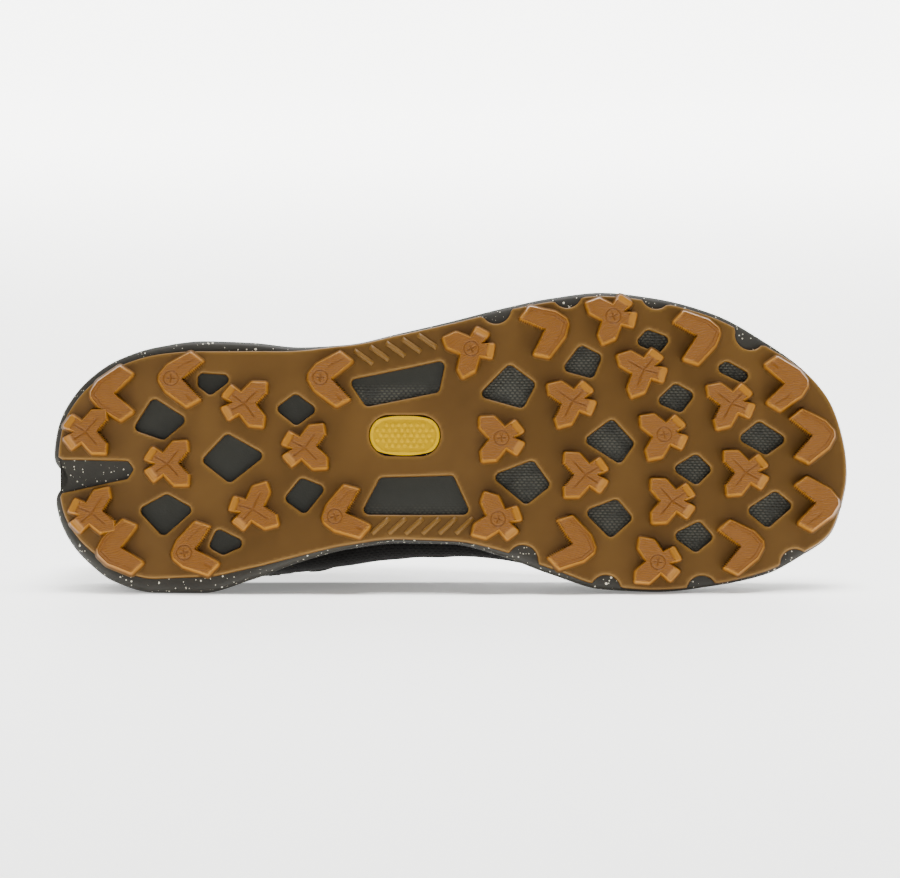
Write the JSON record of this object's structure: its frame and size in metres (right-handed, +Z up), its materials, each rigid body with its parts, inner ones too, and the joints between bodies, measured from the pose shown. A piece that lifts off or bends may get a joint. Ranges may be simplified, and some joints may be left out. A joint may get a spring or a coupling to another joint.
{
  "type": "trail running shoe",
  "caption": "Right trail running shoe lying on its medial side, with a lugged gum outsole, a foam midsole and a low black upper.",
  "frame": {"origin": "middle of the box's base, on the floor that the shoe lies on", "axes": "+X from heel to toe, -Y the way the sole faces, +Z up from the floor towards the shoe's lateral side"},
  "size_m": [0.3, 0.1284, 0.1117],
  "materials": {
    "gum_rubber": "moulded gum rubber, satin",
    "yellow_rubber": "moulded coloured rubber, satin",
    "speckled_foam": "moulded foam with pale specks, matt",
    "black_mesh": "knitted mesh, matt",
    "black_film": "welded film, satin",
    "charcoal_fabric": "brushed lining, matt",
    "lace_cord": "flat woven lace, matt"
  },
  "bodies": {
    "root": {"outsole": "gum_rubber", "badge_inset": "yellow_rubber", "midsole": "speckled_foam", "upper": "black_mesh", "insole": "charcoal_fabric", "tongue": "charcoal_fabric", "eyestay": "black_film", "toe_cap": "black_film", "heel_counter": "black_film", "laces": "lace_cord"}
  },
  "joints": []
}
